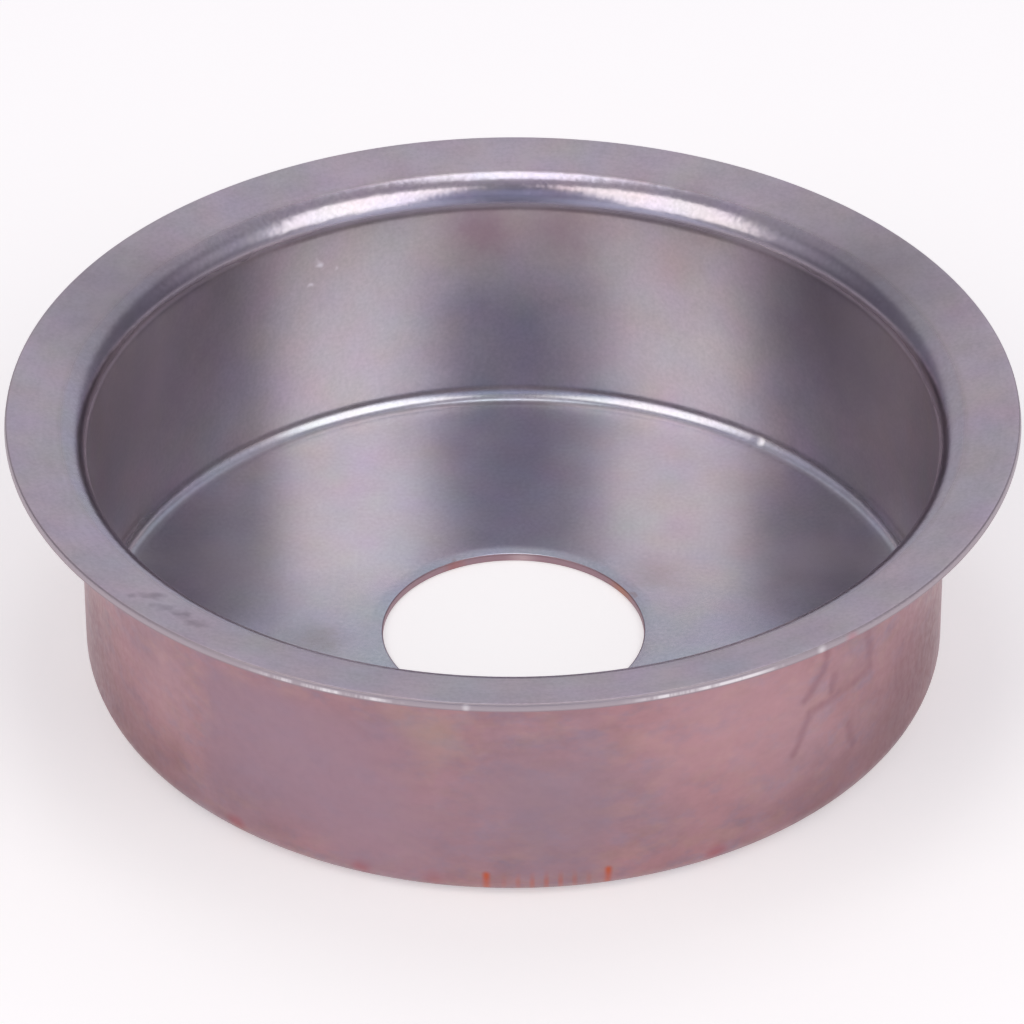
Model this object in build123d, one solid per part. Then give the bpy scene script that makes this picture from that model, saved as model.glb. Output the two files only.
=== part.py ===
from build123d import *
from math import radians, sin, tan
import os

# Turbo heat shield: a round cup with a flange, pressed from one sheet of stainless steel.
# It stands on its floor with the open side up, as it lies on a bench. In the turbocharger
# the flange is clamped between the two housings, the floor faces the turbine wheel, and
# the hub of the shaft runs through the hole in the floor.
#
# Millimetres, +Z up. The origin is on the axis, at the underside of the floor.

# Driving dimensions
sheet = 0.6                  # thickness of the steel, the same all over
height = 19.8                # underside of the floor to the top of the rim
cup_diameter = 60.0          # outside of the wall, which drops into the turbine housing
flange_width = 5.0           # outside of the wall to the edge of the rim
shaft_hole_diameter = 18.4   # clears the hub of the shaft
flange_dish = 10.0           # degrees that the flange climbs outwards, so that it clamps as a spring
flange_bend_radius = 1.9     # inside of the bend between wall and flange
floor_bend_radius = 1.2      # inside of the bend between floor and wall

# Worked out from them
hole_radius = shaft_hole_diameter / 2
wall_radius = cup_diameter / 2 - sheet
rim_radius = cup_diameter / 2 + flange_width - sheet * sin(radians(flange_dish))
flange_rise = (rim_radius - wall_radius) * tan(radians(flange_dish))


def open_side_line():
    """The face that looks up and inwards, from the edge of the hole to the edge of the rim.

    Drawn as radius across and height up. This face is the inside of the floor's bend and
    the outside of the flange's bend.
    """
    return FilletPolyline(
        (hole_radius, sheet),
        (wall_radius, sheet),
        (wall_radius, height - flange_rise),
        (rim_radius, height),
        radius=[floor_bend_radius, flange_bend_radius + sheet],
    )


def sheet_section():
    """The sheet cut through on one side of the axis, equally thick behind every point."""
    return make_face(offset(open_side_line(), amount=sheet, side=Side.RIGHT))


def heat_shield():
    """One pressing: floor, wall and flange are the section turned once round the axis."""
    return revolve(Plane.XZ * sheet_section(), axis=Axis.Z)


os.makedirs("parts", exist_ok=True)
shield = heat_shield()
export_step(shield, "parts/heat_shield.step")
print("heat_shield", shield.bounding_box().size, "volume", round(shield.volume, 1), "mm3")
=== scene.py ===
# %% [markdown]
# # A pressed steel heat shield
# The part is one pressing: a disc of stainless sheet, drawn down into a cup, with a hole
# punched in its floor and the rim left as a clamping flange. This lesson dresses the
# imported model. It forms the sheet again with finer bends, gives each face of the metal
# its own finish, and lights it so that the cup shows what satin and polished steel do.

# %% Load the frame
import math

import bmesh
import bpy
from mathutils import Matrix, Vector, noise


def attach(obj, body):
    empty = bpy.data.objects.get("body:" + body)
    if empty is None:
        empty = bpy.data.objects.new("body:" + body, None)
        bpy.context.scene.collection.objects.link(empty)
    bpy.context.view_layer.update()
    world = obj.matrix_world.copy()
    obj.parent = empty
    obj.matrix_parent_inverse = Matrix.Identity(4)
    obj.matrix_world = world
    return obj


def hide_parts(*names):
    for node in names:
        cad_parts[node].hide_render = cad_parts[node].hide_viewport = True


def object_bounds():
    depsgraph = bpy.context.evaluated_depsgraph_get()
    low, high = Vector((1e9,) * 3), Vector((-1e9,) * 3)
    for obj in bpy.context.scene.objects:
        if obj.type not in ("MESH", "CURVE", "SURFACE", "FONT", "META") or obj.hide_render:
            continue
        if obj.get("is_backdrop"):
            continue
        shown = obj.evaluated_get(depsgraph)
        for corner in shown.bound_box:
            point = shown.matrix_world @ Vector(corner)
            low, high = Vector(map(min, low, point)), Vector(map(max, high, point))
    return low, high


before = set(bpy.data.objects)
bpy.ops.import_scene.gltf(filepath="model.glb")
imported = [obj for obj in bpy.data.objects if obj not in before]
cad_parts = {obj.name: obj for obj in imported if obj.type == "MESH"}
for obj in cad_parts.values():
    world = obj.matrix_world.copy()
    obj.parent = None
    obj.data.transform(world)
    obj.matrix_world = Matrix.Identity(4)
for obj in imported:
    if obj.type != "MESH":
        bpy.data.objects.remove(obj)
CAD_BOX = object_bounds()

MM = 0.001
print("CAD box, mm:", [[round(c / MM, 2) for c in corner] for corner in CAD_BOX])

# %% [markdown]
# ## Sizes of the pressing
# These are the sizes of the real part. The sheet is built from them, and each band of
# polish or colour is placed from them, so that it lands on the bend that it belongs to.
# Single marks, such as stains, have places of their own, in millimetres.

# %% Sizes
SHEET = 0.6 * MM
HEIGHT = 19.8 * MM
HOLE_RADIUS = 9.2 * MM
WALL_RADIUS = 29.4 * MM             # open side of the wall
FLOOR_BEND = 1.2 * MM               # open side, in the corner of the cup
FLANGE_BEND = 2.5 * MM              # open side, over the top of the wall
DISH = math.radians(10)             # the flange climbs outwards
OUTER_RADIUS = 35.0 * MM
RIM_RADIUS = OUTER_RADIUS - SHEET * math.sin(DISH)      # open side, at its edge
FLANGE_BEND_Z = (
    HEIGHT
    - (RIM_RADIUS - WALL_RADIUS - FLANGE_BEND) * math.tan(DISH)
    - FLANGE_BEND / math.cos(DISH)
)
print("centre of the flange's bend, mm up:", round(FLANGE_BEND_Z / MM, 3))

# %% [markdown]
# ## Drawing the section
# A press bends sheet in turns with straight runs between them, so the section is drawn in
# the same way. One vertex starts at the edge of the hole. `spin` with no angle and a step
# vector drags it along a run, and `spin` round a bend's centre turns it. That gives true
# arcs, which a bevelled corner would only come near to.

# %% The open side's section
FLOOR_STEPS, WALL_STEPS, FLANGE_STEPS = 16, 14, 6
FLOOR_BEND_STEPS, FLANGE_BEND_STEPS = 18, 28


def run_to(bm, vert, target, steps):
    """Drag one vertex to a point in equal steps and return the last one."""
    step = (Vector(target) - vert.co) / steps
    made = bmesh.ops.spin(bm, geom=[vert], cent=(0, 0, 0), axis=(0, 1, 0),
                          dvec=step, angle=0.0, steps=steps)
    return next(g for g in made["geom_last"] if isinstance(g, bmesh.types.BMVert))


def turn(bm, vert, centre, angle, steps):
    """Swing one vertex round a bend's centre, in the plane of the section."""
    made = bmesh.ops.spin(bm, geom=[vert], cent=centre, axis=(0, 1, 0),
                          dvec=(0, 0, 0), angle=angle, steps=steps)
    return next(g for g in made["geom_last"] if isinstance(g, bmesh.types.BMVert))


bm = bmesh.new()
tip = bm.verts.new((HOLE_RADIUS, 0, SHEET))
tip = run_to(bm, tip, (WALL_RADIUS - FLOOR_BEND, 0, SHEET), FLOOR_STEPS)
tip = turn(bm, tip, (WALL_RADIUS - FLOOR_BEND, 0, SHEET + FLOOR_BEND),
           -math.pi / 2, FLOOR_BEND_STEPS)
tip = run_to(bm, tip, (WALL_RADIUS, 0, FLANGE_BEND_Z), WALL_STEPS)
tip = turn(bm, tip, (WALL_RADIUS + FLANGE_BEND, 0, FLANGE_BEND_Z),
           math.pi / 2 - DISH, FLANGE_BEND_STEPS)
tip = run_to(bm, tip, (RIM_RADIUS, 0, HEIGHT), FLANGE_STEPS)
print("section:", len(bm.verts), "points, ending at, mm:", [round(c / MM, 2) for c in tip.co])

# %% [markdown]
# ## Turning it into sheet
# The section goes once round the axis, and `solidify` gives the skin its thickness, the
# same everywhere, as rolled sheet has. Doubles are merged and the normals settled before
# the thickness is given, so that it grows outwards from the open side.

# %% Spin and thicken
ROUND_STEPS = 288
WELD = 0.001 * MM

bmesh.ops.spin(bm, geom=bm.verts[:] + bm.edges[:], cent=(0, 0, 0), axis=(0, 0, 1),
               dvec=(0, 0, 0), angle=2 * math.pi, steps=ROUND_STEPS, use_merge=True)
bmesh.ops.remove_doubles(bm, verts=bm.verts, dist=WELD)
bmesh.ops.recalc_face_normals(bm, faces=bm.faces)
if min(bm.faces, key=lambda f: f.calc_center_median().z).normal.z < 0:
    bmesh.ops.reverse_faces(bm, faces=bm.faces)
bmesh.ops.solidify(bm, geom=bm.faces[:], thickness=SHEET)
print("faces after solidify:", len(bm.faces))

# %% [markdown]
# ## Three faces of the metal
# The open side, the outside and the sheared edges have different finishes, so each face
# is sorted into one of three slots by the way it looks out from the axis.

# %% Sort the faces
OPEN_SIDE, OUTSIDE, SHEARED = 0, 1, 2
SIDEWAYS = 0.5                      # a sheared face looks out or in by more than this
HOLE_MARGIN = 0.01 * MM             # a face of the hole's edge lies within this of its radius


def slot_of(face):
    """Which finish a face of the sheet takes."""
    centre = face.calc_center_median()
    out = Vector((centre.x, centre.y, 0))
    radius = out.length
    outward = face.normal.dot(out / radius)
    at_hole = radius < HOLE_RADIUS + HOLE_MARGIN and outward < -SIDEWAYS
    at_rim = radius > RIM_RADIUS and outward > SIDEWAYS
    if at_hole or at_rim:
        return SHEARED
    return OUTSIDE if outward - face.normal.z > 0 else OPEN_SIDE


for face in bm.faces:
    face.material_index = slot_of(face)
for slot, name in ((OPEN_SIDE, "open side"), (OUTSIDE, "outside"), (SHEARED, "sheared")):
    print(name, "faces:", sum(f.material_index == slot for f in bm.faces))

# %% [markdown]
# ## Soft corners on the sheared edges
# A punch drags the sheet round its edge before it cuts, so the side that it came in on
# ends in a small round, and the other side in a tight corner. The round on the rim is
# what blends the flange into its edge.

# %% Bevel the rim and the hole
ROUNDS = (
    # finish beside the edge, at the rim or at the hole, size, segments
    (OPEN_SIDE, True, 0.18 * MM, 5),
    (OUTSIDE, True, 0.07 * MM, 2),
    (OPEN_SIDE, False, 0.12 * MM, 3),
    (OUTSIDE, False, 0.07 * MM, 2),
)


def corners(bm, beside, rim):
    """Edges where a sheared face meets the finish beside it, at the rim or at the hole."""
    return [e for e in bm.edges
            if {f.material_index for f in e.link_faces} == {SHEARED, beside}
            and (e.verts[0].co.xy.length > WALL_RADIUS) == rim]


for beside, rim, size, segments in ROUNDS:
    bmesh.ops.bevel(bm, geom=corners(bm, beside, rim), offset=size, offset_type="OFFSET",
                    segments=segments, profile=0.5, affect="EDGES", material=-1)
    print("bevel of", round(size / MM, 2), "mm, faces now:", len(bm.faces))
for face in bm.faces:
    face.smooth = True

# %% [markdown]
# ## Pressed, not machined
# Drawn sheet is never quite true. A slow, very small wave in the wall makes the long
# reflections wander a little, as they do on a real cup. It fades out towards the base, and
# nearly so towards the rim, so that both keep their sizes.

# %% A slow wave in the sheet
WAVE = 0.045 * MM
WAVE_LENGTH = 17 * MM
WAVE_FADE = 4 * MM                  # the height over which it fades, at the base and the rim
WAVE_AT_RIM = 0.15                  # share of it that is left at the rim
WAVE_PLACE = Vector((3.1, 7.7, 1.9))    # where in the noise it is read


def smooth(share):
    """Ease a share between 0 and 1 in and out."""
    share = min(1.0, max(0.0, share))
    return share * share * (3 - 2 * share)


for vert in bm.verts:
    swell = noise.noise(vert.co / WAVE_LENGTH + WAVE_PLACE)
    off_rim = WAVE_AT_RIM + (1 - WAVE_AT_RIM) * smooth((HEIGHT - vert.co.z) / WAVE_FADE)
    fade = smooth(vert.co.z / WAVE_FADE) * off_rim
    vert.co += Vector((vert.co.x, vert.co.y, 0)).normalized() * swell * WAVE * fade

mesh = bpy.data.meshes.new("pressed_shield")
bm.to_mesh(mesh)
bm.free()
shield = bpy.data.objects.new("pressed_shield", mesh)
bpy.context.scene.collection.objects.link(shield)
print("triangles:", sum(len(p.vertices) - 2 for p in mesh.polygons))

# %% [markdown]
# ## Tools for the materials
# One function turns a written sRGB colour into the linear values that shaders take, and
# one adds a node with its settings and its links. A Mix node has its own pair of inputs
# for each kind of value, all with the same names, so they are picked by number.

# %% Colour and node helpers
NUMBER_A, NUMBER_B = 2, 3           # a Mix node's inputs for plain numbers
COLOUR_A, COLOUR_B = 6, 7           # its inputs for colours
COLOUR_OUT = 2                      # its output for colours


def srgb(hex_colour):
    """'#RRGGBB' as linear red, green, blue and alpha."""
    parts = [int(hex_colour[i:i + 2], 16) / 255 for i in (1, 3, 5)]
    linear = [p / 12.92 if p <= 0.04045 else ((p + 0.055) / 1.055) ** 2.4 for p in parts]
    return (*linear, 1.0)


def add(tree, kind, inputs=None, **settings):
    """Add one node, with its settings, and fill inputs with values or links."""
    made = tree.nodes.new(kind)
    for name, value in settings.items():
        setattr(made, name, value)
    for name, value in (inputs or {}).items():
        if isinstance(value, bpy.types.NodeSocket):
            tree.links.new(value, made.inputs[name])
        else:
            made.inputs[name].default_value = value
    return made


def new_material(name):
    """An empty material, its tree and its Principled shader, set to bare metal."""
    material = bpy.data.materials.new(name)
    material.use_nodes = True
    tree = material.node_tree
    shader = tree.nodes["Principled BSDF"]
    shader.inputs["Metallic"].default_value = 1.0
    return material, tree, shader


print("mid grey #808080 as a linear value:", round(srgb("#808080")[0], 3))

# %% [markdown]
# ## Where a point lies on the cup
# Patterns on a pressing follow its own directions: round the axis, out along a radius and
# up the wall. Object coordinates give them, turned to millimetres so that every scale
# below is a real size.

# %% Directions on the cup


def point_in_mm(tree):
    """A point's place on the part, in mm."""
    return add(tree, "ShaderNodeVectorMath", {
        0: add(tree, "ShaderNodeTexCoord").outputs["Object"], "Scale": 1 / MM},
        operation="SCALE").outputs[0]


def directions(tree, point):
    """A point's distance from the axis, its height and its heading from the axis."""
    parts = add(tree, "ShaderNodeSeparateXYZ", {0: point})
    flat = add(tree, "ShaderNodeVectorMath", {0: point, 1: (1, 1, 0)},
               operation="MULTIPLY").outputs[0]
    radius = add(tree, "ShaderNodeVectorMath", {0: flat}, operation="LENGTH").outputs["Value"]
    heading = add(tree, "ShaderNodeVectorMath", {0: flat}, operation="NORMALIZE").outputs[0]
    return radius, parts.outputs["Z"], heading


def at(azimuth, radius, height):
    """A place on the part in mm. Azimuth 0 is +X and 90 is the far side, in degrees."""
    a = math.radians(azimuth)
    return Vector((radius * math.cos(a), radius * math.sin(a), height))


print("far side of the rim, mm:", [round(c, 1) for c in at(90, OUTER_RADIUS / MM, HEIGHT / MM)])

# %% [markdown]
# ## Marks of use
# A stain is a soft spot, and a scratch is a soft line. Both are measured from a place in
# millimetres. For all but the smallest marks the point is first shaken by noise, so that
# they don't end in clean circles.

# %% Spots and scratches


def shaken(tree, point, grain, reach):
    """The point moved about by noise of a given grain, both in mm."""
    jitter = add(tree, "ShaderNodeTexNoise", {
        "Vector": point, "Scale": 1 / grain, "Detail": 1.0}).outputs["Color"]
    offset = add(tree, "ShaderNodeVectorMath", {0: jitter, 1: (0.5, 0.5, 0.5)},
                 operation="SUBTRACT").outputs[0]
    return add(tree, "ShaderNodeVectorMath", {
        0: offset, 1: (2 * reach, 2 * reach, 2 * reach), 2: point},
        operation="MULTIPLY_ADD").outputs[0]


def spot(tree, point, place, reach):
    """1 at a place, falling softly to 0 at its reach. Both are in the point's units."""
    away = add(tree, "ShaderNodeVectorMath", {0: point, 1: place},
               operation="DISTANCE").outputs["Value"]
    return add(tree, "ShaderNodeMapRange", {
        "Value": away, "From Min": reach, "From Max": 0.0},
        interpolation_type="SMOOTHSTEP").outputs[0]


def scratched(tree, point, lines, width):
    """1 on any line from its start to its end, falling softly to 0 at its width, in mm."""
    nearest = 2 * width
    for start, end in lines:
        along = end - start
        offset = add(tree, "ShaderNodeVectorMath", {0: point, 1: start},
                     operation="SUBTRACT").outputs[0]
        share = add(tree, "ShaderNodeVectorMath", {0: offset, 1: along / along.length_squared},
                    operation="DOT_PRODUCT").outputs["Value"]
        held = add(tree, "ShaderNodeMath", {0: share, 1: 0.0}, operation="ADD",
                   use_clamp=True).outputs[0]
        foot = add(tree, "ShaderNodeVectorMath", {0: along, "Scale": held},
                   operation="SCALE").outputs[0]
        away = add(tree, "ShaderNodeVectorMath", {0: offset, 1: foot},
                   operation="DISTANCE").outputs["Value"]
        nearest = add(tree, "ShaderNodeMath", {0: nearest, 1: away},
                      operation="MINIMUM").outputs[0]
    return add(tree, "ShaderNodeMapRange", {
        "Value": nearest, "From Min": width, "From Max": 0.0},
        interpolation_type="SMOOTHSTEP").outputs[0]


def stain(tree, tone, share, strength, colour):
    """A tone with a colour laid over it where the share says."""
    held = add(tree, "ShaderNodeMath", {0: share, 1: strength}, operation="MULTIPLY").outputs[0]
    return add(tree, "ShaderNodeMix", {0: held, COLOUR_A: tone, COLOUR_B: srgb(colour)},
               data_type="RGBA").outputs[COLOUR_OUT]


# %% [markdown]
# ## The open side: 2B stainless sheet, drawn
# Cold-rolled 2B sheet is a smooth, cloudy satin. Drawing it over a punch changes that from
# place to place. The wall gets streaks that run up it, the flange keeps fine lines round
# the axis, and the bends, which slid over the tool under load, come out nearly polished.
# The eye sees soft vertical bands of light in the cup and hard white flashes on the bend.

# %% Regions of the open side
FLOOR_TOP = SHEET / MM              # mm up
BEND_FOOT = FLANGE_BEND_Z / MM      # mm up, where the wall turns into the bend
BEND_END = (WALL_RADIUS + FLANGE_BEND * (1 - math.sin(DISH))) / MM      # mm from the axis
# Each pair is where a region starts to show and where it is whole.
FLOOR_BELOW = FLOOR_TOP + FLOOR_BEND / MM + 0.1, FLOOR_TOP + 0.1
FLANGE_BEYOND = BEND_END - 0.67, BEND_END + 0.13
BEND_ABOVE = BEND_FOOT + 0.27, BEND_FOOT + 1.27
BEND_WITHIN = BEND_END + 0.03, BEND_END - 0.57
print("bend from", round(BEND_FOOT, 2), "mm up to", round(BEND_END, 2), "mm from the axis")


def open_side_regions(tree, radius, height):
    """Shares of a point that are on the floor, on the flange and on the polished bend."""
    on_floor, on_flange, over, inside = (
        add(tree, "ShaderNodeMapRange", {"Value": place, "From Min": start, "From Max": whole},
            interpolation_type="SMOOTHSTEP").outputs[0]
        for place, (start, whole) in (
            (height, FLOOR_BELOW), (radius, FLANGE_BEYOND),
            (height, BEND_ABOVE), (radius, BEND_WITHIN))
    )
    on_bend = add(tree, "ShaderNodeMath", {0: over, 1: inside},
                  operation="MULTIPLY").outputs[0]
    return on_floor, on_flange, on_bend


# %% [markdown]
# The grain of the sheet is finer than a pixel. It is drawn at 0.3 mm, as coarse as it needs
# to show, and the streaks on the wall at 0.5 mm across and some 8 mm long.

# %% Grain of the open side
GRAIN = 0.30                        # mm
CLOUD = 5.0                         # mm
STREAK = 0.5                        # mm across
STREAK_SLENDERNESS = 0.06           # a streak's width as a share of its length
LINES_PER_MM = 2.2                  # the fine lines round the flange
LINE_CHANGE = 6                     # how much they change on their way round
print("streaks, mm long:", round(STREAK / STREAK_SLENDERNESS, 1))


def open_side_grain(tree, point, radius, heading):
    """Noise for the clouds, the grain, the streaks up the wall and the lines on the flange."""
    clouds = add(tree, "ShaderNodeTexNoise", {
        "Vector": point, "Scale": 1 / CLOUD, "Detail": 2.0, "Roughness": 0.6}).outputs["Fac"]
    grain = add(tree, "ShaderNodeTexNoise", {
        "Vector": point, "Scale": 1 / GRAIN, "Detail": 1.0, "Roughness": 0.6}).outputs["Fac"]
    upright = add(tree, "ShaderNodeVectorMath", {0: point, 1: (1, 1, STREAK_SLENDERNESS)},
                  operation="MULTIPLY").outputs[0]
    streaks = add(tree, "ShaderNodeTexNoise", {
        "Vector": upright, "Scale": 1 / STREAK, "Detail": 1.0}).outputs["Fac"]
    outward = add(tree, "ShaderNodeCombineXYZ", {"Z": radius}).outputs[0]
    ringed = add(tree, "ShaderNodeVectorMath", {
        0: heading, 1: (LINE_CHANGE, LINE_CHANGE, 0), 2: outward},
        operation="MULTIPLY_ADD").outputs[0]
    lines = add(tree, "ShaderNodeTexNoise", {
        "Vector": ringed, "Scale": LINES_PER_MM, "Detail": 1.0, "Roughness": 0.65}).outputs["Fac"]
    return clouds, grain, streaks, lines


# %% [markdown]
# Each region has its own tone of grey. The mottle on it is made of the clouds, the grain
# and, on the flange, the lines. Another noise lets small patches lean a little to one hue.
# A narrow bright ring is painted at the foot of the bend: painted light over the dark band that
# the bend reflects there.

# %% Tones of the open side
WALL_TONE, FLOOR_TONE, FLANGE_TONE, BEND_TONE = "#CBBFC2", "#DCDEEA", "#D6CBD4", "#D2CBD7"
# painted light: the bright ring at the foot of the bend
FOOT_PAINTED_LIGHT, FOOT_PAINTED_LIGHT_STRENGTH = "#FFF6FB", 0.90
FOOT_HEIGHT = BEND_FOOT + 0.77      # mm up
FOOT_END, FOOT_WHOLE = 0.50, 0.15   # mm above and below that
LINES_SHARE = 0.5                   # how far the lines on the flange join in the mottle
MOTTLE_LOW, MOTTLE_HIGH = 0.7, 1.5  # the noises' sum
DARKEST, PALEST = 0.86, 1.05        # what the tone is scaled by at each end of it
TINT_PATCH = 3.5                    # mm, patches where the grey leans a little to one hue
TINT_LEAST = (0.92, 0.93, 0.91)     # the least red, green and blue that a patch keeps
TINT_SPREAD = (0.16, 0.14, 0.18)    # and how much more of each it may have


def foot_of_bend(tree, height):
    """1 on the ring where the wall turns into the bend."""
    above = add(tree, "ShaderNodeMath", {0: height, 1: FOOT_HEIGHT}, operation="SUBTRACT")
    away = add(tree, "ShaderNodeMath", {0: above.outputs[0]}, operation="ABSOLUTE")
    return add(tree, "ShaderNodeMapRange", {
        "Value": away.outputs[0], "From Min": FOOT_END, "From Max": FOOT_WHOLE},
        interpolation_type="SMOOTHSTEP").outputs[0]


def clean_tone(tree, point, on_floor, on_flange, on_bend, clouds, grain, lines):
    """The sheet's colour before any mark is on it: each region's grey, cloudy and mottled."""
    tone = srgb(WALL_TONE)
    for region, colour in ((on_floor, FLOOR_TONE), (on_bend, BEND_TONE), (on_flange, FLANGE_TONE)):
        tone = add(tree, "ShaderNodeMix", {0: region, COLOUR_A: tone, COLOUR_B: srgb(colour)},
                   data_type="RGBA").outputs[COLOUR_OUT]
    mottle = add(tree, "ShaderNodeMath", {0: clouds, 1: grain}, operation="ADD").outputs[0]
    ringed = add(tree, "ShaderNodeMath", {
        0: add(tree, "ShaderNodeMath", {0: lines, 1: on_flange}, operation="MULTIPLY").outputs[0],
        1: LINES_SHARE, 2: mottle}, operation="MULTIPLY_ADD").outputs[0]
    shade = add(tree, "ShaderNodeMapRange", {
        "Value": ringed, "From Min": MOTTLE_LOW, "From Max": MOTTLE_HIGH,
        "To Min": DARKEST, "To Max": PALEST}).outputs[0]
    tone = add(tree, "ShaderNodeVectorMath", {0: tone, "Scale": shade},
               operation="SCALE").outputs[0]
    lean = add(tree, "ShaderNodeTexNoise", {
        "Vector": point, "Scale": 1 / TINT_PATCH, "Detail": 1.0}).outputs["Color"]
    lean = add(tree, "ShaderNodeVectorMath", {0: lean, 1: TINT_SPREAD, 2: TINT_LEAST},
               operation="MULTIPLY_ADD").outputs[0]
    return add(tree, "ShaderNodeVectorMath", {0: tone, 1: lean},
               operation="MULTIPLY").outputs[0]


# %% Marks, painted light and painted shade on the open side
MARK_GRAIN, MARK_SHAKE = 1.2, 0.8   # mm, the grain of the shaking and how far it goes
OPEN_SIDE_STAINS_AND_PAINTED_LIGHT = (
    # place, reach in mm, strength, colour
    (Vector((-13.7, -1.0, 0.6)), 3.4, 0.40, "#A59A92"),     # dried drop on the floor
    (Vector((10.1, 6.8, 0.6)), 3.6, 0.35, "#B3A7A0"),       # rubbed patch beside the hole
    (Vector((8.4, 3.9, 0.6)), 0.7, 0.35, "#B0785F"),        # rust at the hole
    (Vector((-4.3, 8.2, 0.6)), 0.6, 0.30, "#A87C76"),
    (Vector((-21.5, 8.0, 0.6)), 7.0, 0.40, "#FBFBFF"),      # painted light, paler on both sides of the floor
    (Vector((22.5, 8.0, 0.6)), 7.0, 0.60, "#FBFBFF"),
    (at(94, 29.4, 15.4), 4.5, 0.70, "#A78894"),             # painted reflection of a red surface, seen through the hole, high on the wall
    (at(83, 29.4, 15.4), 4.5, 0.60, "#A78A97"),
    (at(118.5, 29.4, 14.7), 0.5, 0.90, "#F4EEF2"),          # nicks in the wall, painted bright as glints
    (at(119.6, 29.4, 12.9), 0.4, 0.80, "#F4EEF2"),
    (at(116.0, 29.4, 13.6), 0.35, 0.60, "#F4EEF2"),
    (at(66.0, 29.4, 13.9), 3.2, 0.22, "#B59C8E"),           # faint brown patch
    (at(152, 29.4, 12.5), 15.0, 0.80, "#8B838A"),           # painted shade, darker towards both sides of the wall
    (at(34, 29.4, 13.5), 15.0, 0.80, "#8B838A"),
)
SMUDGE_TONE, SMUDGE_STRENGTH = "#877A86", 0.45
SMUDGE_WIDTH = 0.75                 # mm
SMUDGES = [
    [at(azimuth, radius, 19.4) for azimuth, radius in ends] for ends in (
        ((-138.6, 33.6), (-136.9, 32.3)), ((-135.2, 33.4), (-134.2, 32.9)),
        ((-132.6, 33.0), (-131.6, 32.6)), ((-130.0, 32.9), (-129.0, 32.6)))
]
print("stains on the open side:", len(OPEN_SIDE_STAINS_AND_PAINTED_LIGHT), "and smudges:", len(SMUDGES))


def marked_tone(tree, tone, point, height):
    """A tone with the stains, painted light and painted shade, the painted bright foot of the bend
    and the smudges laid over it.
    """
    rough_place = shaken(tree, point, MARK_GRAIN, MARK_SHAKE)
    for place, reach, strength, colour in OPEN_SIDE_STAINS_AND_PAINTED_LIGHT:
        tone = stain(tree, tone, spot(tree, rough_place, place, reach), strength, colour)
    tone = stain(tree, tone, foot_of_bend(tree, height), FOOT_PAINTED_LIGHT_STRENGTH, FOOT_PAINTED_LIGHT)
    return stain(tree, tone, scratched(tree, rough_place, SMUDGES, SMUDGE_WIDTH),
                 SMUDGE_STRENGTH, SMUDGE_TONE)


# %% [markdown]
# The bump is tiny. A tenth of a degree of tilt already moves a reflection, so the heights
# are thousandths of a millimetre. Only the polished bend gets enough to break up the ends
# of its flashes into sparkle. The nick where the floor meets the wall is deeper, and the
# rounded edge of the rim, which is handled most, is duller than the rest.

# %% Open side finish
WALL_ROUGHNESS, FLOOR_ROUGHNESS, FLANGE_ROUGHNESS, BEND_ROUGHNESS = 0.31, 0.24, 0.36, 0.22
EDGE_ROUGHNESS = 0.50
UNEVENNESS = 0.10                   # the roughness goes up and down by this share
NOISE_LOW, NOISE_HIGH = 0.3, 0.7    # nearly all of a noise lies between these
WORN_FROM, WORN_WHOLE = OUTER_RADIUS / MM - 0.6, OUTER_RADIUS / MM - 0.2    # mm out
TOOTH = 0.006 * MM                  # how high a relief of 1 stands
SPECKLE = 0.7                       # mm, orange peel on the polished bend
SPECKLE_RELIEF, STREAK_RELIEF, NICK_RELIEF = 2.2, 0.3, 6.0
NICK, NICK_REACH = at(51.9, 29.0, 1.0), 0.7


def open_side_roughness(tree, radius, on_floor, on_flange, on_bend, clouds):
    """Satin in the cup, duller on the flange, polished on the bend and worn at the edge."""
    cup = add(tree, "ShaderNodeMapRange", {
        "Value": on_floor, "To Min": WALL_ROUGHNESS, "To Max": FLOOR_ROUGHNESS}).outputs[0]
    handled = add(tree, "ShaderNodeMapRange", {
        "Value": radius, "From Min": WORN_FROM, "From Max": WORN_WHOLE}).outputs[0]
    base = cup
    for region, roughness in (
        (on_flange, FLANGE_ROUGHNESS), (on_bend, BEND_ROUGHNESS), (handled, EDGE_ROUGHNESS),
    ):
        base = add(tree, "ShaderNodeMix", {
            0: region, NUMBER_A: base, NUMBER_B: roughness}).outputs[0]
    uneven = add(tree, "ShaderNodeMapRange", {
        "Value": clouds, "From Min": NOISE_LOW, "From Max": NOISE_HIGH,
        "To Min": 1 - UNEVENNESS, "To Max": 1 + UNEVENNESS}).outputs[0]
    return add(tree, "ShaderNodeMath", {0: base, 1: uneven}, operation="MULTIPLY").outputs[0]


def open_side_bump(tree, point, on_bend, streaks):
    """The streaks' relief, with orange peel on the bend and one nick."""
    speckle = add(tree, "ShaderNodeTexNoise", {
        "Vector": point, "Scale": 1 / SPECKLE, "Detail": 1.0}).outputs["Fac"]
    peel = add(tree, "ShaderNodeMath", {0: speckle, 1: on_bend}, operation="MULTIPLY").outputs[0]
    drawn = add(tree, "ShaderNodeMath", {0: streaks, 1: STREAK_RELIEF},
                operation="MULTIPLY").outputs[0]
    relief = add(tree, "ShaderNodeMath", {0: peel, 1: SPECKLE_RELIEF, 2: drawn},
                 operation="MULTIPLY_ADD").outputs[0]
    dented = add(tree, "ShaderNodeMath", {
        0: spot(tree, point, NICK, NICK_REACH), 1: NICK_RELIEF, 2: relief},
        operation="MULTIPLY_ADD").outputs[0]
    return add(tree, "ShaderNodeBump", {"Height": dented, "Distance": TOOTH}).outputs[0]


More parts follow.
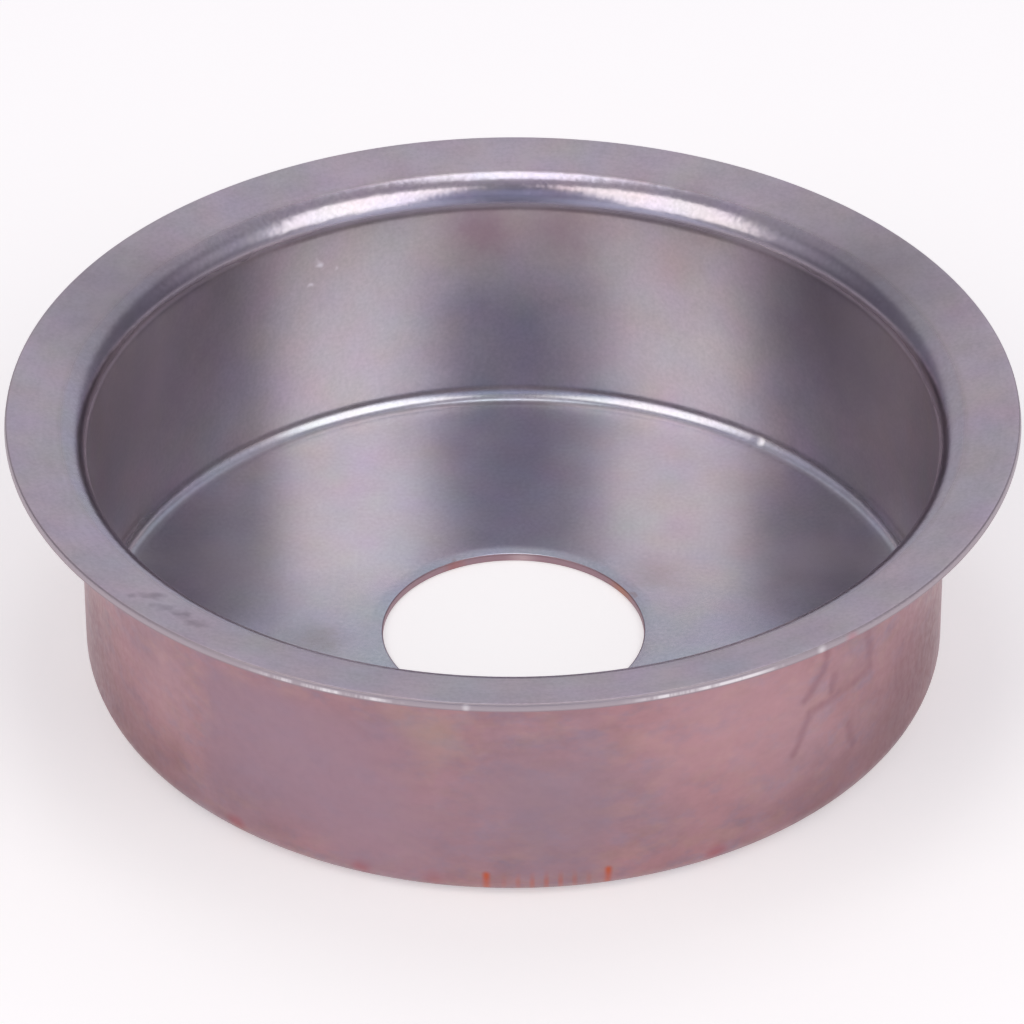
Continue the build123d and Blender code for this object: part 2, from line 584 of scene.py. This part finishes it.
def open_side_finish():
    """2B stainless sheet: cloudy satin, streaked on the wall and polished on the bend."""
    material, tree, shader = new_material("2B stainless sheet, drawn")
    point = point_in_mm(tree)
    radius, height, heading = directions(tree, point)
    regions = open_side_regions(tree, radius, height)
    clouds, grain, streaks, lines = open_side_grain(tree, point, radius, heading)
    tone = marked_tone(
        tree, clean_tone(tree, point, *regions, clouds, grain, lines), point, height)
    tree.links.new(tone, shader.inputs["Base Color"])
    rough = open_side_roughness(tree, radius, *regions, clouds)
    tree.links.new(rough, shader.inputs["Roughness"])
    on_bend = regions[-1]
    tree.links.new(open_side_bump(tree, point, on_bend, streaks), shader.inputs["Normal"])
    return material


# %% [markdown]
# ## The outside: the same sheet, with a painted rose reflection
# The outside of the cup has a faint rose and mauve colour in soft blotches, a painted
# reflection of the red surface that it stood on. Low down and at both sides it is painted
# browner and darker: painted shade, the shade near the table that it reflects. It is a
# duller satin than the inside of the cup, and one long scratch crosses it.

# %% Marks, painted reflection and painted shade on the outside
# The rose palette is a painted reflection of a red surface; the brown is painted shade.
ROSE_REFLECTION, MAUVE, PALE_ROSE, BROWN_SHADE = "#BA9096", "#A98F9D", "#C79EA4", "#8C666C"
LOW_RED_REFLECTION = "#A8404C"
OUTSIDE_STAINS_AND_PAINTED_LIGHT = (
    # place, reach in mm, strength, colour
    # mauve and pale rose blotches, part of the painted rose reflection
    (at(-86, 30, 8.0), 9.0, 0.75, "#A08894"),
    (at(-108, 30, 4.5), 8.0, 0.55, MAUVE),
    (at(-120, 30, 9.0), 8.0, 0.45, MAUVE),
    (at(-62, 30, 12.0), 9.0, 0.50, PALE_ROSE),
    (at(-50, 30, 8.5), 7.0, 0.35, PALE_ROSE),
    (at(-142, 30, 10.5), 6.0, 0.45, PALE_ROSE),
    (at(-101.8, 30, 14.4), 3.5, 0.40, "#B39F8C"),           # a paler, yellowish patch
    # painted shade: browner and darker low down and towards both sides
    (at(-30, 30, 3.0), 8.0, 0.80, BROWN_SHADE),
    (at(-46, 30, 0.5), 7.0, 0.60, BROWN_SHADE),
    (at(-148, 30, 1.0), 8.0, 0.70, BROWN_SHADE),
    (at(-18, 30, 5.0), 9.0, 0.85, "#87565E"),               # painted shade, redder and darker to both sides
    (at(-29, 30, 9.0), 7.0, 0.45, "#9A6670"),
    (at(-163, 30, 4.0), 9.0, 0.70, "#8F626A"),
    (at(-150, 30, 8.5), 7.0, 0.35, "#A5707A"),
    (at(-154.9, 30, 3.0), 1.6, 0.30, "#7F5A60"),
    (at(-139.8, 30, 4.1), 1.8, 0.25, "#8B6166"),
    # painted reflections of a red surface, low on the wall
    (at(-128.8, 29.7, 1.4), 1.2, 0.50, LOW_RED_REFLECTION),
    (at(-110.0, 29.6, 1.2), 1.2, 0.45, LOW_RED_REFLECTION),
    (at(-100.5, 29.6, 1.2), 1.2, 0.30, LOW_RED_REFLECTION),
    (at(-63.0, 29.7, 1.2), 1.3, 0.45, LOW_RED_REFLECTION),
)
PANEL_TONE, PANEL_STRENGTH = "#A08491", 0.70
PANEL_SIDES = (
    # axis, mm along it where the panel has faded out, mm where it is whole
    ("X", -21.4, -20.0), ("X", 1.0, -12.0),
    ("Y", 0.0, -5.0), ("Z", 14.8, 12.8), ("Z", 1.0, 6.0),
)
SCRATCH_TONE, SCRATCH_STRENGTH = "#8E6771", 0.46
SCRATCH_WIDTH = 0.65                # mm
SCRATCH_ROUTE = [at(azimuth, 30, z) for azimuth, z in (
    (-37.4, 13.6), (-36.6, 10.2), (-45.0, 10.0), (-48.4, 9.9), (-50.2, 8.1), (-51.2, 7.0))]
SCRATCH_BRANCH = [at(azimuth, 30, z) for azimuth, z in (
    (-45.4, 14.0), (-46.3, 12.7), (-49.9, 11.0))]
SHORT_SCRATCHES = (
    (at(-44.1, 30, 11.8), at(-44.5, 30, 10.5)),
    (at(-40.9, 30, 6.7), at(-40.0, 30, 4.9)),
)
SCRATCHES = [*zip(SCRATCH_ROUTE, SCRATCH_ROUTE[1:]),
             *zip(SCRATCH_BRANCH, SCRATCH_BRANCH[1:]), *SHORT_SCRATCHES]
print("stains on the outside:", len(OUTSIDE_STAINS_AND_PAINTED_LIGHT), "and runs of scratch:", len(SCRATCHES))

# %% Painted red reflections at the lower edge
RED_REFLECTION = "#C4603F"
TICK_WIDTH, TICK_STRENGTH = 0.42, 0.90      # the width is in mm
RED_REFLECTION_TICKS = [(at(azimuth, 30, 2.0), at(azimuth, 29.6, 0.8)) for azimuth in (-93.6, -77.9)]
BETWEEN_TICKS, ROW_REACH = at(-85.7, 29.6, 1.0), 5.0
FAINT_TICK_PITCH, FAINT_STRENGTH = 0.95, 0.45       # the pitch is in mm
FAINT_TOP, FAINT_WHOLE = 2.4, 1.4   # mm up


def ticked(tree, tone, point):
    """A tone with two painted red reflections as ticks at the lower edge and a row of faint ones
    between them.
    """
    parts = add(tree, "ShaderNodeSeparateXYZ", {0: point}).outputs
    turns = add(tree, "ShaderNodeMath", {0: parts["X"], 1: 2 * math.pi / FAINT_TICK_PITCH},
                operation="MULTIPLY").outputs[0]
    wave = add(tree, "ShaderNodeMath", {0: turns}, operation="SINE", use_clamp=True).outputs[0]
    low = add(tree, "ShaderNodeMapRange", {
        "Value": parts["Z"], "From Min": FAINT_TOP, "From Max": FAINT_WHOLE}).outputs[0]
    row = add(tree, "ShaderNodeMath", {0: wave, 1: low}, operation="MULTIPLY").outputs[0]
    row = add(tree, "ShaderNodeMath", {0: row, 1: spot(tree, point, BETWEEN_TICKS, ROW_REACH)},
              operation="MULTIPLY").outputs[0]
    tone = stain(tree, tone, row, FAINT_STRENGTH, RED_REFLECTION)
    ticks = scratched(tree, point, RED_REFLECTION_TICKS, TICK_WIDTH)
    return stain(tree, tone, ticks, TICK_STRENGTH, RED_REFLECTION)


# %% Colour of the outside, a painted rose reflection
BLOTCH = 8.0                        # mm
BLOTCH_TONE = "#AF8E97"
BLOTCH_FROM, BLOTCH_WHOLE = 0.38, 0.66      # of the blotches' noise
RUB = 2.6                           # mm, patches left by handling
RUB_STRETCH = 1.8                   # they are this much longer round the cup than up it
RUB_FROM, RUB_WHOLE = 0.48, 0.68    # of the patches' noise
RUB_TONES = (("X", 0.55, "#9D8FA2"), ("Y", 0.45, "#BC9A94"))    # channel, strength, colour
RUB_DARKEST, RUB_PALEST = 0.79, 0.94
LOOSE, TIGHT = (5.0, 3.0), (1.5, 0.35)      # mm, grain and length of the shaking
SMALL_STAIN = 3                     # mm, the reach up to which a stain is shaken tightly


def worn_panel(tree, point):
    """1 on a mauve panel on the near left, with one clear edge, fading out to the middle."""
    parts = add(tree, "ShaderNodeSeparateXYZ", {0: point}).outputs
    share = 1.0
    for axis, gone, whole in PANEL_SIDES:
        side = add(tree, "ShaderNodeMapRange", {
            "Value": parts[axis], "From Min": gone, "From Max": whole},
            interpolation_type="SMOOTHSTEP").outputs[0]
        share = add(tree, "ShaderNodeMath", {0: share, 1: side}, operation="MULTIPLY").outputs[0]
    return share


def mottled(tree, tone, point):
    """A tone with small patches that lean to mauve or to tan, longer round the cup than up."""
    rubbed = add(tree, "ShaderNodeVectorMath", {0: point, 1: (1, 1, RUB_STRETCH)},
                 operation="MULTIPLY").outputs[0]
    patches = add(tree, "ShaderNodeSeparateXYZ", {0: add(tree, "ShaderNodeTexNoise", {
        "Vector": rubbed, "Scale": 1 / RUB, "Detail": 3.0, "Roughness": 0.65}).outputs["Color"]
    }).outputs
    for channel, strength, colour in RUB_TONES:
        share = add(tree, "ShaderNodeMapRange", {
            "Value": patches[channel], "From Min": RUB_FROM, "From Max": RUB_WHOLE}).outputs[0]
        tone = stain(tree, tone, share, strength, colour)
    shade = add(tree, "ShaderNodeMapRange", {
        "Value": patches["Z"], "From Min": NOISE_LOW, "From Max": NOISE_HIGH,
        "To Min": RUB_DARKEST, "To Max": RUB_PALEST}).outputs[0]
    return add(tree, "ShaderNodeVectorMath", {0: tone, "Scale": shade},
               operation="SCALE").outputs[0]


def outside_colour(tree, point):
    """Rose and mauve blotches of painted reflection, with stains, painted shade and scratches over
    them.
    """
    blotches = add(tree, "ShaderNodeTexNoise", {
        "Vector": point, "Scale": 1 / BLOTCH, "Detail": 1.0, "Roughness": 0.62}).outputs["Fac"]
    share = add(tree, "ShaderNodeMapRange", {
        "Value": blotches, "From Min": BLOTCH_FROM, "From Max": BLOTCH_WHOLE}).outputs[0]
    tone = add(tree, "ShaderNodeMix", {
        0: share, COLOUR_A: srgb(ROSE_REFLECTION), COLOUR_B: srgb(BLOTCH_TONE)},
        data_type="RGBA").outputs[COLOUR_OUT]
    tone = mottled(tree, tone, point)
    loose, tight = shaken(tree, point, *LOOSE), shaken(tree, point, *TIGHT)
    tone = stain(tree, tone, worn_panel(tree, tight), PANEL_STRENGTH, PANEL_TONE)
    for place, reach, strength, colour in OUTSIDE_STAINS_AND_PAINTED_LIGHT:
        around = loose if reach > SMALL_STAIN else tight
        tone = stain(tree, tone, spot(tree, around, place, reach), strength, colour)
    scratches = scratched(tree, tight, SCRATCHES, SCRATCH_WIDTH)
    tone = stain(tree, tone, scratches, SCRATCH_STRENGTH, SCRATCH_TONE)
    return ticked(tree, tone, point)


# %% Outside finish
OUTSIDE_ROUGHNESS, OUTSIDE_SPREAD = 0.36, 0.05
OUTSIDE_GRAIN = 0.6                 # mm


def outside_finish():
    """Stainless with a painted rose reflection: a dull satin with soft blotches."""
    material, tree, shader = new_material("stainless with painted rose reflection")
    point = point_in_mm(tree)
    tree.links.new(outside_colour(tree, point), shader.inputs["Base Color"])
    grain = add(tree, "ShaderNodeTexNoise", {
        "Vector": point, "Scale": 1 / OUTSIDE_GRAIN, "Detail": 1.0, "Roughness": 0.6,
    }).outputs["Fac"]
    rough = add(tree, "ShaderNodeMapRange", {
        "Value": grain, "From Min": NOISE_LOW, "From Max": NOISE_HIGH,
        "To Min": OUTSIDE_ROUGHNESS - OUTSIDE_SPREAD,
        "To Max": OUTSIDE_ROUGHNESS + OUTSIDE_SPREAD}).outputs[0]
    tree.links.new(rough, shader.inputs["Roughness"])
    bump = add(tree, "ShaderNodeBump", {"Height": grain, "Distance": TOOTH}).outputs[0]
    tree.links.new(bump, shader.inputs["Normal"])
    return material


# %% [markdown]
# ## The sheared edges
# A sheared edge is bare metal, torn rather than rolled. Its lower part has painted glints in
# broken bright dashes, over a thin burr painted dark as shade. At the hole it is painted
# rosy instead, a painted reflection of a red surface.

# %% Colour of the sheared edges
# the hole's edge tone is a painted reflection of a red surface
EDGE_TONE, HOLE_REFLECTION_TONE, GLINT_TONE, BURR_SHADE_TONE = "#B8ADB4", "#A88C95", "#F8F4F6", "#9E858C"
GLINT_STRENGTH, BURR_SHADE_STRENGTH = 0.90, 0.60
RIM_SIDE, HOLE_SIDE = 20.0, 15.0    # mm from the axis, between the rim and the hole
DASH = 2.5                          # mm along the rim
DASH_FROM, DASH_FULL = 0.42, 0.56   # of the dashes' noise
BRINK = HEIGHT / MM                 # mm up
DASH_TOP, BURR_TOP = (BRINK - 0.22, BRINK - 0.30), (BRINK - 0.52, BRINK - 0.44)
BRIGHT_STRETCHES = at(-110.7, 1, 0), at(-68.5, 1, 0)    # their middles, on a ring of radius 1
BRIGHT_REACH, BRIGHT_GAIN = 0.19, 2.0       # the reach is a share of the radius
EDGE_STAINS_AND_GLINTS = (
    # place, reach in mm, strength, colour
    (at(33, 9.2, 0.3), 2.0, 0.65, "#BC8367"),               # rust
    (at(117, 9.2, 0.3), 1.2, 0.50, "#B0716B"),
    (at(86, 9.2, 0.3), 1.5, 0.50, "#D8C4C8"),               # rubbed bright
    (at(-54.7, 35, 19.5), 0.5, 0.60, GLINT_TONE),            # two chips, painted bright as glints
    (at(-95.1, 35, 19.5), 0.4, 0.60, GLINT_TONE),
    (at(-50.5, 35, 19.3), 0.8, 0.50, "#C98791"),
)


def painted_glints(tree, heading, low, above_burr):
    """1 on the painted glints: dashes over the burr, in two stretches of the rim."""
    along = add(tree, "ShaderNodeTexNoise", {
        "Vector": heading, "Scale": OUTER_RADIUS / MM / DASH, "Detail": 4.0, "Roughness": 0.7,
    }).outputs["Fac"]
    broken = add(tree, "ShaderNodeMapRange", {
        "Value": along, "From Min": DASH_FROM, "From Max": DASH_FULL}).outputs[0]
    left, right = (spot(tree, heading, middle, BRIGHT_REACH) for middle in BRIGHT_STRETCHES)
    glinting_stretches = add(tree, "ShaderNodeMath", {0: left, 1: right}, operation="ADD").outputs[0]
    glinting_stretches = add(tree, "ShaderNodeMath", {0: glinting_stretches, 1: BRIGHT_GAIN}, operation="MULTIPLY",
               use_clamp=True).outputs[0]
    glints = low
    for share in (above_burr, broken, glinting_stretches):
        glints = add(tree, "ShaderNodeMath", {0: glints, 1: share},
                     operation="MULTIPLY").outputs[0]
    return glints


def edge_colour(tree, point):
    """Torn metal with painted glints in dashes, a burr with painted shade, rust and chips painted
    bright as glints.
    """
    radius, height, heading = directions(tree, point)
    at_hole = add(tree, "ShaderNodeMapRange", {
        "Value": radius, "From Min": RIM_SIDE, "From Max": HOLE_SIDE}).outputs[0]
    tone = add(tree, "ShaderNodeMix", {
        0: at_hole, COLOUR_A: srgb(EDGE_TONE), COLOUR_B: srgb(HOLE_REFLECTION_TONE)},
        data_type="RGBA").outputs[COLOUR_OUT]
    low, above_burr = (
        add(tree, "ShaderNodeMapRange", {
            "Value": height, "From Min": none, "From Max": whole}).outputs[0]
        for none, whole in (DASH_TOP, BURR_TOP)
    )
    glints = painted_glints(tree, heading, low, above_burr)
    tone = stain(tree, tone, glints, GLINT_STRENGTH, GLINT_TONE)
    # painted shade: the burr is painted dark under the dashes
    on_burr_shade, at_rim = (
        add(tree, "ShaderNodeMath", {0: 1.0, 1: share}, operation="SUBTRACT").outputs[0]
        for share in (above_burr, at_hole)
    )
    burr_shade = add(tree, "ShaderNodeMath", {0: on_burr_shade, 1: at_rim}, operation="MULTIPLY").outputs[0]
    tone = stain(tree, tone, burr_shade, BURR_SHADE_STRENGTH, BURR_SHADE_TONE)
    for place, reach, strength, colour in EDGE_STAINS_AND_GLINTS:
        tone = stain(tree, tone, spot(tree, point, place, reach), strength, colour)
    return tone


# %% Sheared edge finish
TEAR = 0.35                         # mm
TEAR_RELIEF = 3


def sheared_finish():
    """Torn bare metal: painted glints in dashes along the rim, a painted rose reflection at the
    hole.
    """
    material, tree, shader = new_material("sheared stainless edge")
    point = point_in_mm(tree)
    tree.links.new(edge_colour(tree, point), shader.inputs["Base Color"])
    shader.inputs["Roughness"].default_value = EDGE_ROUGHNESS
    tear = add(tree, "ShaderNodeTexNoise", {
        "Vector": point, "Scale": 1 / TEAR, "Detail": 3.0}).outputs["Fac"]
    bump = add(tree, "ShaderNodeBump", {
        "Height": tear, "Distance": TEAR_RELIEF * TOOTH}).outputs[0]
    tree.links.new(bump, shader.inputs["Normal"])
    return material


# %% Dress the pressing
for material in (open_side_finish(), outside_finish(), sheared_finish()):
    shield.data.materials.append(material)
    print(material.name, "nodes:", len(material.node_tree.nodes))

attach(shield, "root")
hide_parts("heat_shield")

# %% [markdown]
# ## A pale table
# The part lies on a plain matt table. Seen directly, or in the metal, the table is lifted a
# little towards white by Light Path, which puts no more light on the part, and it keeps the
# part's soft shadow.

# %% Table
TABLE_SIZE = 8.0
TABLE_DROP = 0.02 * MM
TABLE_TONE = "#F4F2F2"
WHITE_LIFT = 0.39

table_bm = bmesh.new()
bmesh.ops.create_grid(table_bm, x_segments=1, y_segments=1, size=TABLE_SIZE / 2)
bmesh.ops.translate(table_bm, verts=table_bm.verts, vec=(0, 0, -TABLE_DROP))
table_mesh = bpy.data.meshes.new("table")
table_bm.to_mesh(table_mesh)
table_bm.free()
table = bpy.data.objects.new("table", table_mesh)
bpy.context.scene.collection.objects.link(table)
table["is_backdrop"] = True

table_material, tree, shader = new_material("matt white table")
tree.nodes.remove(shader)
rays = add(tree, "ShaderNodeLightPath").outputs
seen = add(tree, "ShaderNodeMath", {0: rays["Is Camera Ray"], 1: rays["Is Glossy Ray"]},
           operation="ADD").outputs[0]
seen = add(tree, "ShaderNodeMath", {0: seen, 1: rays["Is Transmission Ray"]},
           operation="ADD", use_clamp=True).outputs[0]
lift = add(tree, "ShaderNodeMath", {0: seen, 1: WHITE_LIFT}, operation="MULTIPLY").outputs[0]
matt = add(tree, "ShaderNodeBsdfDiffuse", {"Color": srgb(TABLE_TONE)}).outputs[0]
glow = add(tree, "ShaderNodeEmission", {"Strength": lift}).outputs[0]
both = add(tree, "ShaderNodeAddShader", {0: matt, 1: glow}).outputs[0]
tree.links.new(both, tree.nodes["Material Output"].inputs["Surface"])
table.data.materials.append(table_material)
print("table, metres across:", TABLE_SIZE)

# %% [markdown]
# ## The room
# Metal shows the room that it stands in. Here the room is a dim lilac grey. It is paler
# behind the part, which the flange reflects, and overhead, which the bend reflects. It fades
# towards the horizon at the sides, so the bend darkens there as it turns down into the cup.
# It is slightly blue in front, which shows as the quiet dark band down the middle of the
# cup. A darker stand, high in front, and a shelf below it shade the middle of the bend. A
# pale board at each side, which the top of the wall mirrors, keeps the floor's sides light.
#
# The room is smooth and its lamps do the lighting, so it is left out of lamp sampling.

# %% Room
BACK_LEFT, BACK_RIGHT, SIDES, FRONT = "#B5B3B9", "#BBBBC4", "#7E7A86", "#9A9EB6"
CEILING, STAND, BOARD = "#A7A1A9", "#43455A", "#B4B0BC"
TO_SIDES, TO_TOP = -0.60, 0.80      # the back gives way to the sides, and gains upwards
# Each pair is where a region starts and where it is whole, in parts of a direction.
BACK, OVERHEAD = (0.32, 0.65), (0.72, 0.86)
RIGHTWARD, AHEAD = (-0.22, 0.12), (-0.45, -0.78)
SPOTS = (
    # direction, reach, colour
    ((0, -0.56, 0.83), 0.34, STAND),
    ((0, -0.98, 0.17), 0.40, STAND),                        # the shelf
    ((-0.82, -0.10, 0.56), 0.50, BOARD),
    ((0.82, -0.10, 0.56), 0.50, BOARD),
)

world = bpy.data.worlds.new("studio")
bpy.context.scene.world = world
world.use_nodes = True
world.cycles.sampling_method = "NONE"
tree = world.node_tree
way = add(tree, "ShaderNodeTexCoord").outputs["Generated"]
parts = add(tree, "ShaderNodeSeparateXYZ", {0: way}).outputs
aside = add(tree, "ShaderNodeMath", {0: parts["X"]}, operation="ABSOLUTE").outputs[0]
depth = add(tree, "ShaderNodeMath", {0: aside, 1: TO_SIDES, 2: parts["Y"]},
            operation="MULTIPLY_ADD").outputs[0]
depth = add(tree, "ShaderNodeMath", {0: parts["Z"], 1: TO_TOP, 2: depth},
            operation="MULTIPLY_ADD").outputs[0]
behind, overhead, rightward, ahead = (
    add(tree, "ShaderNodeMapRange", {"Value": place, "From Min": start, "From Max": whole},
        interpolation_type="SMOOTHSTEP").outputs[0]
    for place, (start, whole) in (
        (depth, BACK), (parts["Z"], OVERHEAD), (parts["X"], RIGHTWARD), (parts["Y"], AHEAD))
)
back_wall = add(tree, "ShaderNodeMix", {
    0: rightward, COLOUR_A: srgb(BACK_LEFT), COLOUR_B: srgb(BACK_RIGHT)},
    data_type="RGBA").outputs[COLOUR_OUT]
room = add(tree, "ShaderNodeMix", {0: behind, COLOUR_A: srgb(SIDES), COLOUR_B: back_wall},
           data_type="RGBA").outputs[COLOUR_OUT]
for share, colour in (
    (ahead, FRONT), (overhead, CEILING),
    *((spot(tree, way, place, reach), colour) for place, reach, colour in SPOTS),
):
    room = add(tree, "ShaderNodeMix", {0: share, COLOUR_A: room, COLOUR_B: srgb(colour)},
               data_type="RGBA").outputs[COLOUR_OUT]
tree.links.new(room, tree.nodes["Background"].inputs["Color"])
print("nodes of the room:", len(tree.nodes))

# %% [markdown]
# ## Three soft lamps
# Two softboxes stand in front, left and right of the camera. The cup's wall mirrors each of
# them as a pale upright band. A small lamp overhead draws the thin bright line along the
# bend. Each lamp's power is worked out from how bright its face should look, because that
# is what the metal mirrors.

# %% Lamps
LOOK_AT = Vector((0, 0, 10.8 * MM))
LAMP_DISTANCE = 0.9
LAMPS = (
    # name, azimuth, elevation, width, height, brightness, tint
    ("softbox_left", -48, 44, 0.58, 0.74, 1.38, "#FFFAEE"),
    ("softbox_right", 46.5, 42, 0.58, 0.70, 1.50, "#FFFDF4"),
    ("overhead", 180, 79, 0.22, 0.47, 1.6, "#FBFFFF"),
)


def softbox(name, azimuth, elevation, width, height, brightness, tint):
    """A soft lamp that faces the part. Azimuth 0 is the camera's side, in degrees."""
    a, e = math.radians(azimuth), math.radians(elevation)
    away = Vector((math.sin(a) * math.cos(e), -math.cos(a) * math.cos(e), math.sin(e)))
    lamp = bpy.data.lights.new(name, "AREA")
    lamp.shape = "RECTANGLE"
    lamp.size, lamp.size_y = width, height
    lamp.energy = brightness * math.pi * width * height
    lamp.color = srgb(tint)[:3]
    made = bpy.data.objects.new(name, lamp)
    made.location = LOOK_AT + away * LAMP_DISTANCE
    made.rotation_euler = away.to_track_quat("Z", "Y").to_euler()
    made.visible_camera = False
    bpy.context.scene.collection.objects.link(made)
    print(name, "watts:", round(lamp.energy, 2))


for lamp in LAMPS:
    softbox(*lamp)

# %% [markdown]
# ## The camera
# The camera's height and distance were solved from the photograph: the ratio of the rim's
# ellipse gives the tilt, and how the near side grows against the far side gives the
# distance. It looks a hair to the side of the axis and is rolled by a fifth of a degree.

# %% Camera
PHOTO = 1024                        # pixels along the photograph's side
FOCAL = 6886.4                      # pixels
DISTANCE = 479.4 * MM
ELEVATION = math.radians(34.866)
ROLL = math.radians(-0.208)
AXIS_PIXEL = Vector((512.57, 509.93))
SENSOR = 36.0
NEAREST, FARTHEST = 0.01, 20        # metres that the camera sees between

camera_data = bpy.data.cameras.new("camera")
camera_data.sensor_width = SENSOR
camera_data.lens = FOCAL / PHOTO * SENSOR
camera_data.clip_start, camera_data.clip_end = NEAREST, FARTHEST
camera = bpy.data.objects.new("camera", camera_data)
bpy.context.scene.collection.objects.link(camera)

back = Vector((0, -math.cos(ELEVATION), math.sin(ELEVATION)))
right = Vector((1, 0, 0))
rolled_right = right * math.cos(ROLL) + back.cross(right) * math.sin(ROLL)
rolled_up = back.cross(rolled_right)
middle = Vector(((PHOTO - 1) / 2, (PHOTO - 1) / 2))
aside = (AXIS_PIXEL - middle) * DISTANCE / FOCAL
facing = Matrix((rolled_right, rolled_up, back)).transposed().to_4x4()
camera.matrix_world = Matrix.Translation(
    LOOK_AT + back * DISTANCE - rolled_right * aside.x + rolled_up * aside.y) @ facing
bpy.context.scene.camera = camera
bpy.context.scene.view_settings.view_transform = "Standard"
print("lens, mm:", round(camera_data.lens, 1), "distance, mm:", round(DISTANCE / MM, 1))

# %% [markdown]
# ## Finish
# Both boxes, the CAD model's and the dressed part's, are gathered, and the dressed part's is
# printed in millimetres. The dressed part has to fill the same box as the CAD model.

# %% Finish
size = {"cad": [list(c) for c in CAD_BOX], "visual": [list(c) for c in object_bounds()]}
print("visual box, mm:", [[round(c / MM, 3) for c in corner] for corner in size["visual"]])
